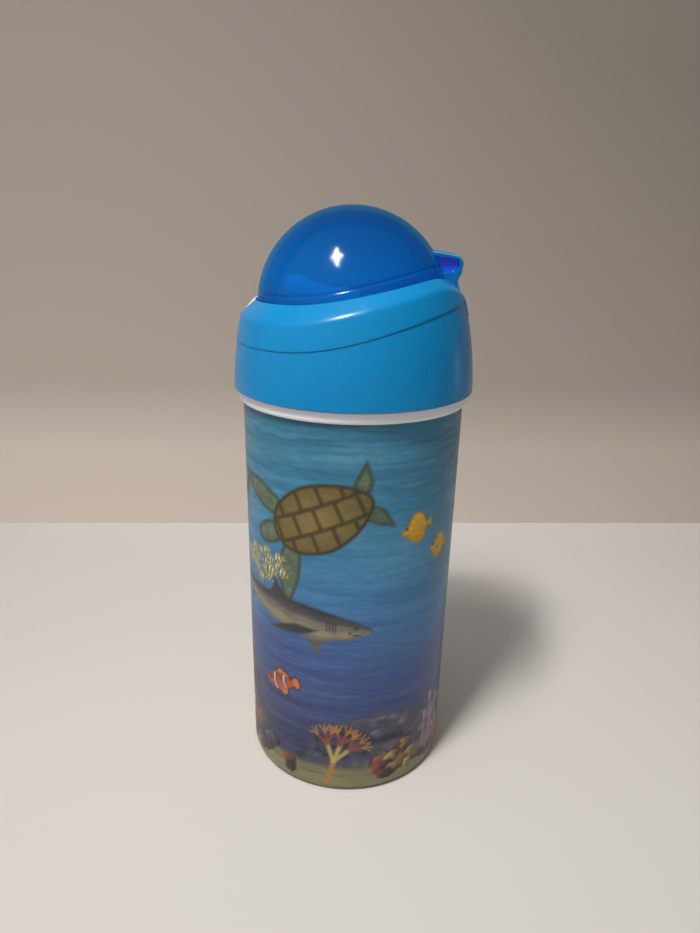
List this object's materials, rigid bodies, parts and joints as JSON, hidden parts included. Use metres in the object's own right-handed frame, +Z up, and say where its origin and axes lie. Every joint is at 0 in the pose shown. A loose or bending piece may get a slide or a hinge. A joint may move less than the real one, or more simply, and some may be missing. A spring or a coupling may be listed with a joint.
{
  "type": "water bottle",
  "caption": "Kids water bottle: printed cylindrical body, screw lid with slanted collar, flip-up translucent dome, rocker latch button and pop-up straw spout.",
  "frame": {"origin": "centre of the face that the bottle stands on", "axes": "+Z up along the bottle's axis, -X towards the drinking side with the latch button, +X towards the dome's hinge"},
  "size_m": [0.076, 0.076, 0.1875],
  "materials": {
    "white_plastic": "satin moulded polypropylene",
    "printed_film": "satin film with a ribbed surface and an underwater print",
    "collar_blue": "glossy moulded plastic",
    "dome_blue": "glossy translucent plastic",
    "silicone": "matte silicone rubber",
    "straw_plastic": "smooth translucent plastic",
    "steel": "drawn stainless wire"
  },
  "bodies": {
    "bottle": {"bottle_body": "white_plastic", "print_wrap": "printed_film"},
    "seal_ring": {"lid_gasket": "silicone"},
    "lid": {"lid_insert": "white_plastic", "collar_skirt": "collar_blue", "collar_bezel": "collar_blue", "hinge_pin": "steel", "button_spring": "steel", "spout_seal": "silicone", "vent_valve": "silicone", "straw_sleeve": "silicone", "straw": "straw_plastic"},
    "dome": {"dome_cover": "dome_blue"},
    "button": {"latch_button": "white_plastic"},
    "spout": {"spout_barrel": "white_plastic", "spout_mouthpiece": "silicone"}
  },
  "joints": [
    {"name": "lid_lift", "type": "slide", "parent": "bottle", "child": "seal_ring", "axis": [0, 0, 1], "range_m": [0, 0.012]},
    {"name": "lid_turn", "type": "hinge", "parent": "seal_ring", "child": "lid", "pos_m": [0, 0, 0.14], "axis": [0, 0, 1], "range_deg": [0, 720]},
    {"name": "dome_hinge", "type": "hinge", "parent": "lid", "child": "dome", "pos_m": [0.0294, 0, 0.1628], "axis": [0, 1, 0], "range_deg": [0, 110]},
    {"name": "spout_flip", "type": "hinge", "parent": "lid", "child": "spout", "pos_m": [0.005, 0, 0.1565], "axis": [0, 1, 0], "range_deg": [0, 75]},
    {"name": "button_rock", "type": "hinge", "parent": "lid", "child": "button", "pos_m": [-0.0322, 0, 0.1542], "axis": [0, -1, 0], "range_deg": [0, 8], "stiffness_Nm_per_rad": 0.02, "springref_deg": -2.86, "deforming": ["button_spring"]}
  ],
  "couplings": [
    {"joint": "lid_lift", "follows": "lid_turn", "m_per_rad": 0.00095493},
    {"joint": "spout_flip", "follows": "dome_hinge", "ratio": 0.68182}
  ]
}
